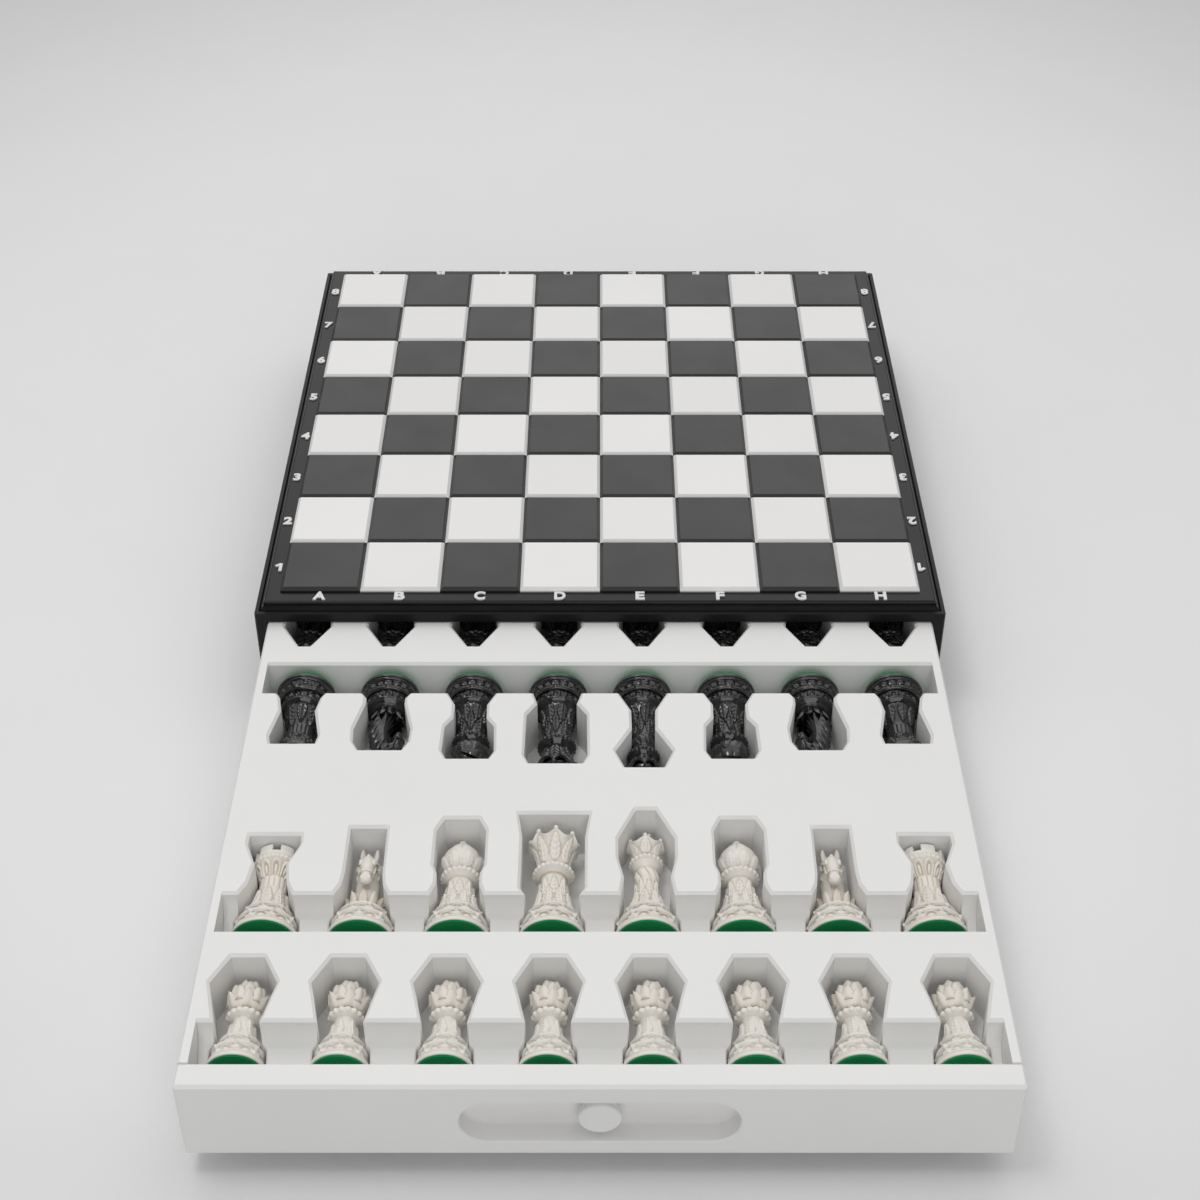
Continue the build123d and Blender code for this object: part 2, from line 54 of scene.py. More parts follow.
def lacquer(name, shade, lift, gloss, peel, grain=900, grain_detail=2):
    """Sprayed lacquer that drifts from one shade to another, with its own gloss range, skin depth and grain."""
    paint = bpy.data.materials.new(name)
    paint.use_nodes = True
    tree = paint.node_tree
    shader = tree.nodes["Principled BSDF"]
    place = tree.nodes.new("ShaderNodeTexCoord")
    drift = tree.nodes.new("ShaderNodeTexNoise")
    drift.inputs["Scale"].default_value = 11
    drift.inputs["Detail"].default_value = 5
    tone = tree.nodes.new("ShaderNodeValToRGB")
    tone.color_ramp.elements[0].position = 0.32
    tone.color_ramp.elements[0].color = (*shade, 1)
    tone.color_ramp.elements[1].position = 0.68
    tone.color_ramp.elements[1].color = (*lift, 1)
    patches = tree.nodes.new("ShaderNodeTexNoise")
    patches.inputs["Scale"].default_value = 42
    patches.inputs["Detail"].default_value = 3
    sheen = tree.nodes.new("ShaderNodeMapRange")
    sheen.inputs["From Min"].default_value = 0.3
    sheen.inputs["From Max"].default_value = 0.7
    sheen.inputs["To Min"].default_value = gloss[0]
    sheen.inputs["To Max"].default_value = gloss[1]
    skin = tree.nodes.new("ShaderNodeTexNoise")
    skin.inputs["Scale"].default_value = grain
    skin.inputs["Detail"].default_value = grain_detail
    bump = tree.nodes.new("ShaderNodeBump")
    bump.inputs["Strength"].default_value = peel
    bump.inputs["Distance"].default_value = 0.0002
    for texture in (drift, patches, skin):
        tree.links.new(place.outputs["Object"], texture.inputs["Vector"])
    tree.links.new(drift.outputs["Fac"], tone.inputs["Fac"])
    tree.links.new(tone.outputs["Color"], shader.inputs["Base Color"])
    tree.links.new(patches.outputs["Fac"], sheen.inputs["Value"])
    tree.links.new(sheen.outputs["Result"], shader.inputs["Roughness"])
    tree.links.new(skin.outputs["Fac"], bump.inputs["Height"])
    tree.links.new(bump.outputs["Normal"], shader.inputs["Normal"])
    return paint


black_lacquer = lacquer("black_lacquer", (0.007, 0.007, 0.007), (0.010, 0.010, 0.010), (0.34, 0.42), 0.10)
black_lacquer.node_tree.nodes["Principled BSDF"].inputs["Specular IOR Level"].default_value = 0.22
for name in case_pieces:
    nodes[name].material_slots[0].material = black_lacquer

# Board panel. One panel with a routed edge (cove, step and rounded top) that drops between the case's lips.
# It has the same lacquer as the case, sprayed a little thicker, so its mouldings catch brighter lines.
panel_lacquer = lacquer("panel_lacquer", (0.007, 0.007, 0.007), (0.010, 0.010, 0.010), (0.20, 0.27), 0.05)
panel_lacquer.node_tree.nodes["Principled BSDF"].inputs["Specular IOR Level"].default_value = 0.25
nodes["board_panel"].material_slots[0].material = panel_lacquer

# Tiles. Sixty-four bevelled board tiles glued edge to edge on the panel, half dark grey and half off-white.
# Each was sprayed by itself, so the shade steps very slightly from one tile to the next.
square = 0.045
border_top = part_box("dark_tiles")[0].z
field_half = 4 * square


def tile_lacquer(name, shade, lift, gloss, peel):
    """Lacquer with a slight step of shade from tile to tile."""
    paint = lacquer(name, shade, lift, gloss, peel)
    tree = paint.node_tree
    shader = tree.nodes["Principled BSDF"]
    tone = shader.inputs["Base Color"].links[0].from_socket
    place = tree.nodes["Texture Coordinate"]
    cell = tree.nodes.new("ShaderNodeVectorMath")
    cell.operation = "SNAP"
    cell.inputs[1].default_value = (square, square, 1)
    pick = tree.nodes.new("ShaderNodeTexWhiteNoise")
    step = tree.nodes.new("ShaderNodeMapRange")
    step.inputs["To Min"].default_value = 0.975
    step.inputs["To Max"].default_value = 1.025
    shift = tree.nodes.new("ShaderNodeHueSaturation")
    tree.links.new(place.outputs["Object"], cell.inputs[0])
    tree.links.new(cell.outputs["Vector"], pick.inputs["Vector"])
    tree.links.new(pick.outputs["Value"], step.inputs["Value"])
    tree.links.new(step.outputs["Result"], shift.inputs["Value"])
    tree.links.new(tone, shift.inputs["Color"])
    tree.links.new(shift.outputs["Color"], shader.inputs["Base Color"])
    return paint


dark_tile = tile_lacquer("dark_tile", (0.018, 0.018, 0.0185), (0.023, 0.023, 0.0235), (0.34, 0.42), 0.12)
light_tile = tile_lacquer("light_tile", (0.880, 0.872, 0.860), (0.900, 0.892, 0.880), (0.44, 0.52), 0.10)
nodes["dark_tiles"].material_slots[0].material = dark_tile
nodes["light_tiles"].material_slots[0].material = light_tile

# Coordinates. Raised letters and digits cut from white sheet and glued along the panel's border, upright
# on the near and left sides and turned to face the other player on the far and right sides.
sign_height = 0.0066
sign_rise = 0.0008
sign_inset = 0.0038
sign_weight = 0.045
sign_widths = {"A": 0.99, "B": 1.2, "C": 0.99, "D": 0.99, "E": 1.2, "F": 1.2, "G": 0.99}
other_width = 1.1
cap_share = 0.73
flag_slant = 38
sign_white = lacquer("sign_white", (0.78, 0.78, 0.77), (0.82, 0.82, 0.81), (0.38, 0.48), 0.10)


def joined(pieces, name):
    """Several meshes made one."""
    bpy.ops.object.select_all(action="DESELECT")
    for piece in pieces:
        piece.select_set(True)
    bpy.context.view_layer.objects.active = pieces[0]
    bpy.ops.object.join()
    pieces[0].name = name
    pieces[0].data.name = name
    return pieces[0]


def flagged(piece):
    """Give a plain upright bar the slanted flag of a figure one."""
    bar_left = min(corner.co.x for corner in piece.data.vertices)
    bpy.ops.mesh.primitive_cube_add(size=1, location=(bar_left - 0.07 * sign_height, 0.80 * sign_height, 0))
    flag = bpy.context.object
    flag.scale = (0.52 * sign_height, 0.23 * sign_height, sign_rise)
    flag.rotation_euler = (0, 0, math.radians(flag_slant))
    bpy.ops.object.transform_apply(location=True, rotation=True, scale=True)
    joined([piece, flag], "figure_one")


def sign(text, x, y, turned_round):
    """One raised letter or digit, made a mesh and then laid on the border."""
    bpy.ops.object.select_all(action="DESELECT")
    bpy.ops.object.text_add(location=(0, 0, 0))
    piece = bpy.context.object
    words = piece.data
    words.body = text
    words.size = sign_height / cap_share
    words.offset = sign_height * sign_weight
    words.extrude = sign_rise / 2
    words.bevel_depth = sign_rise * 0.12
    words.bevel_resolution = 1
    words.resolution_u = 6
    bpy.ops.object.convert(target="MESH")
    if text == "1":
        flagged(piece)
    bpy.ops.object.origin_set(type="ORIGIN_GEOMETRY", center="BOUNDS")
    piece.scale = (sign_widths.get(text, other_width), 1, 1)
    piece.rotation_euler = (0, 0, math.pi if turned_round else 0)
    piece.location = (x, y, border_top + sign_rise * 0.55)
    bpy.ops.object.transform_apply(location=True, rotation=True, scale=True)
    return piece


letters = []
digits = []
for i in range(8):
    along = (i + 0.5) * square - field_half
    letters.append(sign("ABCDEFGH"[i], along, -field_half - sign_inset, False))
    letters.append(sign("ABCDEFGH"[i], along, field_half + sign_inset, True))
    digits.append(sign("12345678"[i], -field_half - sign_inset, along, False))
    digits.append(sign("12345678"[i], field_half + sign_inset, along, True))
for piece in (joined(letters, "coordinate_letters"), joined(digits, "coordinate_digits")):
    piece.data.materials.clear()
    piece.data.materials.append(sign_white)
    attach(piece, "case")

# Runners. Two slick plastic strips on the case's bottom carry the drawer, and two brass pins pressed into
# that bottom run in the drawer's grooves, so that it stops before it falls out.
glide_plastic = lacquer("glide_plastic", (0.030, 0.030, 0.031), (0.045, 0.045, 0.046), (0.48, 0.62), 0.30)
nodes["glide_strips"].material_slots[0].material = glide_plastic


def machined(name, shade, lift, gloss):
    """Bare metal with fine turning marks."""
    metal = lacquer(name, shade, lift, gloss, 0.05)
    tree = metal.node_tree
    shader = tree.nodes["Principled BSDF"]
    shader.inputs["Metallic"].default_value = 1
    marks = tree.nodes.new("ShaderNodeTexWave")
    marks.wave_type = "RINGS"
    marks.rings_direction = "SPHERICAL"
    marks.inputs["Scale"].default_value = 2600
    marks.inputs["Distortion"].default_value = 1.5
    bump = shader.inputs["Normal"].links[0].from_node
    tree.links.new(tree.nodes["Texture Coordinate"].outputs["Object"], marks.inputs["Vector"])
    tree.links.new(marks.outputs["Fac"], bump.inputs["Height"])
    return metal


pin_brass = machined("pin_brass", (0.62, 0.44, 0.19), (0.72, 0.54, 0.26), (0.2, 0.34))
nodes["stop_pins"].material_slots[0].material = pin_brass

# Drawer. A front with a finger recess, two sides, a back and a bottom panel, glued up from board, and four
# inserts with routed troughs and pockets. All of it is sprayed matte off-white.
drawer_pieces = ["drawer_front", "drawer_left_side", "drawer_right_side", "drawer_back", "drawer_bottom"]
drawer_pieces += ["white_pawn_insert", "white_officer_insert", "black_officer_insert", "black_pawn_insert"]
white_lacquer = lacquer("white_lacquer", (0.862, 0.857, 0.846), (0.878, 0.873, 0.862), (0.50, 0.60), 0.14)
for name in drawer_pieces:
    nodes[name].material_slots[0].material = white_lacquer

# Coves. Between the men's wells each trough has a raised floor that sweeps up to the pockets and ends in a
# round nose by the men's feet. The blocks are shaped from the same board, eased along the wells and glued in.
mm = 0.001
pawn_radius = 13.5
officer_radius = 16.2
cove_run = 15.0
cove_drop = 15.7
cove_lip = 1.6
cove_slack = 0.05
cove_ease = 0.6
cove_steps = 18
nose_run = 3.2
nose_drop = 8.0
trough_width = 23.4
finger_gap = 6.15
seat_gap = 0.3
well_draw = 0.4
foot_top = 6.4
foot_fade = 2.2
foot_room = 1.3
collar_foot = 11.8
collar_fade = 2.4
collar_draw = 2.2
coved_rows = {"white_pawn_insert": pawn_radius, "white_officer_insert": officer_radius,
              "black_officer_insert": officer_radius, "black_pawn_insert": pawn_radius}


def well_half_width(radius, above_foot):
    """Half the width of the well round a lying man, at a height above its foot, in millimetres."""
    foot = min(max((foot_top - above_foot) / foot_fade, 0), 1)
    collar = min(max((above_foot - collar_foot) / collar_fade, 0), 1)
    wider = foot_room * foot * foot * (3 - 2 * foot)
    narrower = collar_draw * collar * collar * (3 - 2 * collar)
    return radius - well_draw + wider - narrower


def cove_line():
    """Heights above the men's feet and depths under the lip, down the sweep and round the nose."""
    quarter = [math.pi / 2 * i / cove_steps for i in range(cove_steps + 1)]
    mouth = trough_width - finger_gap - cove_slack
    sweep = [(mouth - cove_run * (1 - math.cos(turn)), cove_drop * math.sin(turn)) for turn in quarter]
    foot = mouth - cove_run
    nose = [(foot - nose_run * math.sin(turn), cove_drop + nose_drop * (1 - math.cos(turn)))
            for turn in quarter[3::3]]
    return sweep + nose


def cove_block(left, right, radius, foot_y, toward, lip_z, floor_z):
    """One block between two stops. A stop is (x, is a well): a man's well, or else the trough's end."""
    line = cove_line()
    bpy.ops.object.select_all(action="DESELECT")
    bpy.ops.mesh.primitive_grid_add(x_subdivisions=3, y_subdivisions=len(line) - 1, size=1, location=(0, 0, 0))
    piece = bpy.context.object
    for corner in piece.data.vertices:
        column = round((corner.co.x + 0.5) * 3)
        above_foot, depth = line[round((corner.co.y + 0.5) * (len(line) - 1))]
        well = well_half_width(radius, above_foot) * mm
        low_x = left[0] + well if left[1] else left[0] + cove_slack * mm
        high_x = right[0] - well if right[1] else right[0] - cove_slack * mm
        inset = cove_ease * mm if column in (1, 2) else 0
        x = low_x + inset if column < 2 else high_x - inset
        z = lip_z - depth * mm - (cove_ease * mm - inset)
        corner.co = (x, foot_y + toward * above_foot * mm, z)
    bpy.ops.object.mode_set(mode="EDIT")
    bpy.ops.mesh.select_all(action="SELECT")
    bpy.ops.mesh.extrude_region_move(TRANSFORM_OT_translate={"value": (0, 0, -mm)})
    bpy.ops.object.mode_set(mode="OBJECT")
    for corner in piece.data.vertices:
        if corner.select:
            corner.co.z = floor_z
    bpy.ops.object.mode_set(mode="EDIT")
    bpy.ops.mesh.select_all(action="SELECT")
    bpy.ops.mesh.normals_make_consistent(inside=False)
    bpy.ops.object.mode_set(mode="OBJECT")
    bpy.ops.object.shade_smooth_by_angle(angle=math.radians(30))
    return piece


for insert, radius in coved_rows.items():
    low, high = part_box(insert)
    row = insert.rsplit("_", 1)[0]
    kinds_in_row = ["pawn"] if "pawn" in row else ["rook", "knight", "bishop", "queen", "king"]
    colour = row.split("_")[0]
    lying = [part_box(name) for name in nodes if name.split("_")[0] == colour
             and name.split("_")[1] in kinds_in_row and not name.endswith("insert")]
    centres = sorted((man[0].x + man[1].x) / 2 for man in lying)
    toward = 1 if colour == "white" else -1
    foot_y = (low.y if colour == "white" else high.y) + toward * finger_gap * mm
    axis_z = (lying[0][0].z + lying[0][1].z) / 2
    stops = [(low.x, False)] + [(x, True) for x in centres] + [(high.x, False)]
    lip_z = high.z - cove_lip * mm
    floor_z = axis_z - (radius + seat_gap) * mm
    blocks = [cove_block(left, right, radius, foot_y, toward, lip_z, floor_z)
              for left, right in zip(stops, stops[1:])]
    coves = joined(blocks, row + "_coves")
    coves.data.materials.clear()
    coves.data.materials.append(white_lacquer)
    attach(coves, "drawer")

# Pull knob. A turned hardwood knob in the recess, lacquered off-white like the front, and held by one
# zinc-plated screw from inside the drawer.
knob_lacquer = lacquer("knob_lacquer", (0.866, 0.861, 0.850), (0.882, 0.877, 0.866), (0.38, 0.46), 0.10)
nodes["pull_knob"].material_slots[0].material = knob_lacquer
screw_zinc = machined("screw_zinc", (0.56, 0.57, 0.58), (0.66, 0.67, 0.68), (0.22, 0.36))
nodes["knob_screw"].material_slots[0].material = screw_zinc

# Pawns. Cast resin men with a carved foot and a bud of leaves, ivory on the near side and black with pale
# marbling on the far side. A green felt disc is glued under every foot.
felt_thickness = 1.2
pedestal_height = 17.25
pedestal_draw = 5.4


def lathe_line(steps, spacing):
    """Points along (radius, height, bulge) steps, in millimetres. A bulge bows a step outwards."""
    points = [(0, steps[0][1]), steps[0][:2]]
    for (radius, height, _), (end_radius, end_height, bulge) in zip(steps, steps[1:]):
        across = end_radius - radius
        up = end_height - height
        length = math.hypot(across, up)
        count = max(4 if bulge else 1, round(length / spacing))
        for i in range(1, count + 1):
            share = i / count
            bow = 4 * share * (1 - share) * bulge / length
            points.append((radius + across * share + up * bow, height + up * share - across * bow))
    points.append((0, steps[-1][1]))
    return [(radius * mm, height * mm) for radius, height in points]


def turned(name, line, sides):
    """A form turned on a lathe: an outline is drawn up point by point and spun about the upright axis."""
    bpy.ops.object.select_all(action="DESELECT")
    bpy.ops.mesh.primitive_plane_add(size=mm, location=(0, 0, 0))
    form = bpy.context.object
    form.name = name
    bpy.ops.object.mode_set(mode="EDIT")
    bpy.ops.mesh.select_all(action="SELECT")
    bpy.ops.mesh.merge(type="CENTER")
    bpy.ops.transform.translate(value=(line[0][0], 0, line[0][1]))
    for (radius, height), (end_radius, end_height) in zip(line, line[1:]):
        step = (end_radius - radius, 0, end_height - height)
        bpy.ops.mesh.extrude_region_move(TRANSFORM_OT_translate={"value": step})
    bpy.ops.mesh.select_all(action="SELECT")
    bpy.ops.mesh.spin(steps=sides, angle=2 * math.pi, center=(0, 0, 0), axis=(0, 0, 1))
    bpy.ops.mesh.select_all(action="SELECT")
    bpy.ops.mesh.remove_doubles(threshold=0.002 * mm)
    bpy.ops.mesh.normals_make_consistent(inside=False)
    bpy.ops.object.mode_set(mode="OBJECT")
    return form


def leaf_relief(across, up, rise, cell):
    """A pointed leaf with a midrib and side veins, lifted most at its tip."""
    taper = np.sqrt(np.clip((1 - up) / 0.65, 0, 1))
    half = np.clip(np.where(up < 0.35, 0.72 + 0.28 * up / 0.35, taper), 0, 1) * 0.94
    lobes = 1 - 0.10 * np.abs(np.sin(up * 5 * math.pi))
    inside = np.clip((half * lobes - np.abs(across)) / 0.16, 0, 1)
    inside = inside * inside * (3 - 2 * inside)
    midrib = np.exp(-(across / 0.10) ** 2)
    veins = np.cos((up * 9 - np.abs(across) * 2.6) * math.pi)
    swell = (0.5 + 0.5 * up) * (1 - np.clip(up, 0, 1) ** 8)
    return rise * inside * (swell + 0.30 * midrib + 0.12 * veins * (1 - midrib))


def bead_relief(across, up, rise, cell):
    """A round bead as large as its cell allows."""
    size = min(cell) / 2 * 0.96
    reach = ((across * cell[0] / 2) ** 2 + ((up - 0.5) * cell[1]) ** 2) / size ** 2
    return rise * np.sqrt(np.clip(1 - reach, 0, 1))


def rope_relief(across, up, rise, cell):
    """One slanting strand of a twisted rope."""
    slant = np.abs(((across / 2 + 0.5 + up * 0.9) % 1) * 2 - 1)
    return rise * np.sqrt(np.clip(1 - slant ** 2, 0, 1)) * np.sin(np.clip(up, 0, 1) * math.pi)


def arch_relief(across, up, rise, cell):
    """A round arch with a sunk niche and a pointed pellet in it."""
    above = np.clip(up - 0.45, 0, 1) * 1.35
    rim = np.hypot(across, above) - 0.70
    line = np.exp(-(rim / 0.13) ** 2)
    niche = np.clip(-rim / 0.2, 0, 1)
    pellet = np.clip(1 - np.hypot(across / 0.34, (up - 0.42) / 0.34), 0, 1)
    return rise * (line - 0.45 * niche + 1.1 * np.sqrt(pellet))


def flute_relief(across, up, rise, cell):
    """A rounded reed between two channels, with closed ends."""
    ends = np.clip(np.minimum(up, 1 - up) / 0.08, 0, 1)
    return rise * (np.sqrt(np.clip(1 - across ** 2, 0, 1)) - 0.6) * ends


def point_relief(across, up, rise, cell):
    """A slim pointed drop with a ridge."""
    half = 0.06 + 0.30 * np.sqrt(np.clip(1 - up, 0, 1)) * np.clip(up / 0.12, 0, 1)
    ends = np.clip(np.minimum(up, 1 - up) / 0.06, 0, 1)
    return rise * np.sqrt(np.clip(1 - np.abs(across) / half, 0, 1)) * ends


def carve(form, bands):
    """Cut bands of (relief, count, low, high, rise, turn) into the outer skin, heights in millimetres."""
    mesh = form.data
    count = len(mesh.vertices)
    place = np.empty(count * 3)
    normal = np.empty(count * 3)
    mesh.vertices.foreach_get("co", place)
    mesh.vertex_normals.foreach_get("vector", normal)
    place = place.reshape(-1, 3)
    normal = normal.reshape(-1, 3)
    around = np.arctan2(place[:, 1], place[:, 0])
    radius = np.hypot(place[:, 0], place[:, 1]) / mm
    height = place[:, 2] / mm
    facing = (normal[:, 0] * place[:, 0] + normal[:, 1] * place[:, 1]) / np.maximum(radius * mm, 1e-9)
    depth = np.zeros(count)
    for relief, repeats, low, high, rise, turn in bands:
        in_band = (height > low) & (height < high) & (facing > 0.15)
        if not in_band.any():
            continue
        across = ((around / (2 * math.pi) * repeats + turn) % 1) * 2 - 1
        up = (height - low) / (high - low)
        cell = (2 * math.pi * radius[in_band].mean() / repeats, high - low)
        depth[in_band] += relief(across[in_band], up[in_band], rise, cell)
    place += normal * (depth * mm)[:, None]
    mesh.vertices.foreach_set("co", place.ravel())
    mesh.update()


def pedestal_steps(base_radius):
    """Foot slab and ring, two bands and two rings."""
    return [
        (base_radius - 0.5, felt_thickness, 0), (base_radius, felt_thickness + 0.5, 0.15),
        (base_radius, 2.9, 0), (base_radius - 0.6, 3.3, 0.15),
        (base_radius - 0.9, 3.4, 0), (base_radius - 0.9, 4.8, 0.55),
        (base_radius - 1.6, 4.9, 0), (base_radius - 2.7, 8.9, -0.3),
        (base_radius - 2.2, 9.0, 0), (base_radius - 2.2, 11.2, 0.8),
        (base_radius - 3.7, 11.3, 0), (base_radius - 4.8, 14.9, -0.3),
        (base_radius - 4.4, 15.0, 0), (base_radius - 4.4, 16.8, 0.7),
        (base_radius - pedestal_draw, pedestal_height, 0),
    ]


def pedestal_bands(arches):
    """Two arcades, and slim drops that hang over the rings between their arches."""
    return [
        (arch_relief, arches, 4.9, 8.9, 0.9, 0), (point_relief, arches, 4.8, 10.6, 0.9, 0.5),
        (arch_relief, arches, 11.6, 14.9, 0.8, 0.5), (point_relief, arches, 11.6, 16.4, 0.7, 0),
    ]


def petals(count, low, length, width, radius, flare, swell, turn):
    """A ring of pointed leaves that leave the body at a radius, in millimetres and shares of a leaf."""
    bpy.ops.object.select_all(action="DESELECT")
    bpy.ops.mesh.primitive_grid_add(x_subdivisions=6, y_subdivisions=7, size=1, location=(0, 0, 0))
    leaf = bpy.context.object
    first = 2 * math.pi * turn / count
    for corner in leaf.data.vertices:
        side = corner.co.x * 2
        share = corner.co.y + 0.5
        half = width / 2 * (0.7 + 1.3 * share) * max(1 - share, 0.004) ** 0.72
        rib = 0.05 * width * max(0, 1 - 2.4 * abs(side))
        out = radius + flare * share ** swell + 0.10 * width * (1 - side * side) + rib
        angle = first + side * half / out
        up = low + length * (share - 0.1 * share ** 4)
        corner.co = (out * math.cos(angle) * mm, out * math.sin(angle) * mm, up * mm)
    wall = leaf.modifiers.new("wall", "SOLIDIFY")
    wall.thickness = 0.8 * mm
    wall.offset = -1
    bpy.ops.object.modifier_apply(modifier=wall.name)
    soft = leaf.modifiers.new("soft", "SUBSURF")
    soft.levels = 1
    soft.render_levels = 1
    bpy.ops.object.modifier_apply(modifier=soft.name)
    bpy.ops.object.mode_set(mode="EDIT")
    bpy.ops.mesh.select_all(action="SELECT")
    bpy.ops.mesh.normals_make_consistent(inside=False)
    rest = 2 * math.pi * (count - 1) / count
    bpy.ops.mesh.spin(steps=count - 1, dupli=True, angle=rest, center=(0, 0, 0), axis=(0, 0, 1))
    bpy.ops.object.mode_set(mode="OBJECT")
    return leaf


def with_painted_shade(form):
    """Store a painted shade and highlight map, dark in a man's hollows and pale on its edges, spread evenly
    from 0 to 1, and smooth its skin.
    """
    bpy.ops.object.select_all(action="DESELECT")
    form.select_set(True)
    bpy.context.view_layer.objects.active = form
    wear = form.data.color_attributes.new(name="wear", type="FLOAT_COLOR", domain="POINT")
    form.data.color_attributes.active_color = wear
    # The dirt operator paints shade into the hollows and a highlight onto the edges here.
    bpy.ops.paint.vertex_color_dirt(blur_strength=1, blur_iterations=3, clean_angle=math.radians(150),
                                    dirt_angle=math.radians(30), normalize=True)
    wear = form.data.color_attributes["wear"]
    count = len(wear.data)
    tint = np.empty(count * 4, dtype=np.float32)
    wear.data.foreach_get("color", tint)
    tint = tint.reshape(-1, 4)
    tint[:, :3] = (np.argsort(np.argsort(tint[:, 0])) / (count - 1))[:, None]
    wear.data.foreach_set("color", tint.ravel())
    bpy.ops.object.shade_smooth_by_angle(angle=math.radians(48))
    return form


pawn_steps = pedestal_steps(pawn_radius) + [
    (7.0, 18.4, 0), (4.9, 27.3, -0.6), (5.2, 29.5, 0), (7.4, 30.7, 0), (7.4, 32.9, 0.4),
    (5.4, 34.0, 0), (8.8, 40.3, 0.9), (5.8, 47.8, 0.5), (0.6, 54.2, 0.5),
]
pawn_bud = turned("pawn_bud", lathe_line(pawn_steps, 0.5), 120)
carve(pawn_bud, pedestal_bands(7) + [
    (leaf_relief, 6, 18.3, 28.5, 1.4, 0), (bead_relief, 15, 30.4, 33.2, 0.8, 0),
])
pawn_leaves = [
    petals(6, 34.0, 9.4, 7.6, 5.6, 4.6, 0.75, 0), petals(6, 37.0, 9.0, 7.8, 8.0, 0.9, 1.2, 0.5),
    petals(6, 40.5, 8.6, 7.4, 8.3, -1.4, 1.6, 0), petals(6, 44.0, 8.4, 6.0, 6.9, -2.6, 1.4, 0.5),
]
pawn_form = with_painted_shade(joined([pawn_bud] + pawn_leaves, "pawn_form"))

# Rooks. A round tower cast in one piece, with leaves round its foot, a reeded shaft, an arcade under the
# parapet and six merlons that were pressed on while the master was soft.
rook_steps = pedestal_steps(officer_radius) + [
    (9.6, 18.4, 0), (6.6, 34.7, -0.8), (6.6, 38.9, 0), (10.4, 46.7, -0.5), (11.2, 47.9, 0),
    (11.2, 51.8, 0), (7.8, 51.8, 0), (7.8, 51.3, 0),
]
rook_tower = turned("rook_tower", lathe_line(rook_steps, 0.5), 144)
carve(rook_tower, pedestal_bands(8) + [
    (leaf_relief, 8, 18.2, 31.0, 1.5, 0), (flute_relief, 14, 31.5, 38.6, 0.7, 0),
    (arch_relief, 10, 39.4, 46.6, 0.9, 0), (bead_relief, 30, 47.2, 49.2, 0.6, 0),
])


merlon_reach = 9.5
merlon_wall = 3.4
merlon_sweep = 39
merlon_middle = 53.7
merlon_height = 4.6


def merlon(angle):
    """One block of the battlement, bent to the tower's round."""
    bpy.ops.object.select_all(action="DESELECT")
    bpy.ops.mesh.primitive_cube_add(size=1, location=(0, 0, 0))
    block = bpy.context.object
    bpy.ops.object.mode_set(mode="EDIT")
    bpy.ops.mesh.select_all(action="SELECT")
    bpy.ops.mesh.subdivide(number_cuts=5)
    bpy.ops.object.mode_set(mode="OBJECT")
    for corner in block.data.vertices:
        reach = merlon_reach + merlon_wall * corner.co.x
        bend = math.radians(angle + merlon_sweep * corner.co.y)
        up = merlon_middle + merlon_height * corner.co.z
        corner.co = (reach * math.cos(bend) * mm, reach * math.sin(bend) * mm, up * mm)
    ease = block.modifiers.new("ease", "BEVEL")
    ease.width = 0.45 * mm
    ease.segments = 2
    ease.angle_limit = math.radians(40)
    bpy.ops.object.modifier_apply(modifier=ease.name)
    return block


rook_form = with_painted_shade(joined([rook_tower] + [merlon(30 + 60 * i) for i in range(6)], "rook_form"))

# Knights. A horse's head and neck on the shared foot, with a mane of locks down both sides, a bridle and a
# collar of leaves. The clay master was built up from rolls and pressed balls, then cast in one skin.
knight_foot_steps = pedestal_steps(officer_radius) + [(9.6, 18.1, 0), (9.6, 19.0, 0.3), (7.0, 20.0, 0)]
knight_foot = turned("knight_foot", lathe_line(knight_foot_steps, 0.5), 144)
carve(knight_foot, pedestal_bands(8))


def roll(name, bones):
    """A roll of clay along (x, y, z, width, depth) points, in millimetres."""
    bpy.ops.object.select_all(action="DESELECT")
    bpy.ops.mesh.primitive_plane_add(size=1, location=(0, 0, 0))
    clay = bpy.context.object
    clay.name = name
    bpy.ops.object.mode_set(mode="EDIT")
    bpy.ops.mesh.select_all(action="SELECT")
    bpy.ops.mesh.merge(type="CENTER")
    bpy.ops.transform.translate(value=bones[0][:3])
    for last, bone in zip(bones, bones[1:]):
        step = (bone[0] - last[0], bone[1] - last[1], bone[2] - last[2])
        bpy.ops.mesh.extrude_region_move(TRANSFORM_OT_translate={"value": step})
    bpy.ops.object.mode_set(mode="OBJECT")
    flesh = clay.modifiers.new("flesh", "SKIN")
    flesh.use_smooth_shade = True
    for corner, joint in zip(clay.data.vertices, clay.data.skin_vertices[0].data):
        bone = min(bones, key=lambda spot: math.dist(corner.co, spot[:3]))
        joint.radius = (bone[3] * 1.07, bone[4] * 1.07)
    clay.data.skin_vertices[0].data[0].use_root = True
    soft = clay.modifiers.new("soft", "SUBSURF")
    soft.levels = 2
    soft.render_levels = 2
    bpy.ops.object.modifier_apply(modifier=flesh.name)
    bpy.ops.object.modifier_apply(modifier=soft.name)
    return clay


def ball(place, size, tilt):
    """A pressed ball of clay, tilted about the cross axis in degrees, in millimetres."""
    bpy.ops.object.select_all(action="DESELECT")
    bpy.ops.mesh.primitive_uv_sphere_add(segments=24, ring_count=14, radius=1, location=place)
    lump = bpy.context.object
    lump.scale = size
    lump.rotation_euler = (0, math.radians(tilt), 0)
    bpy.ops.object.transform_apply(location=True, rotation=True, scale=True)
    return lump


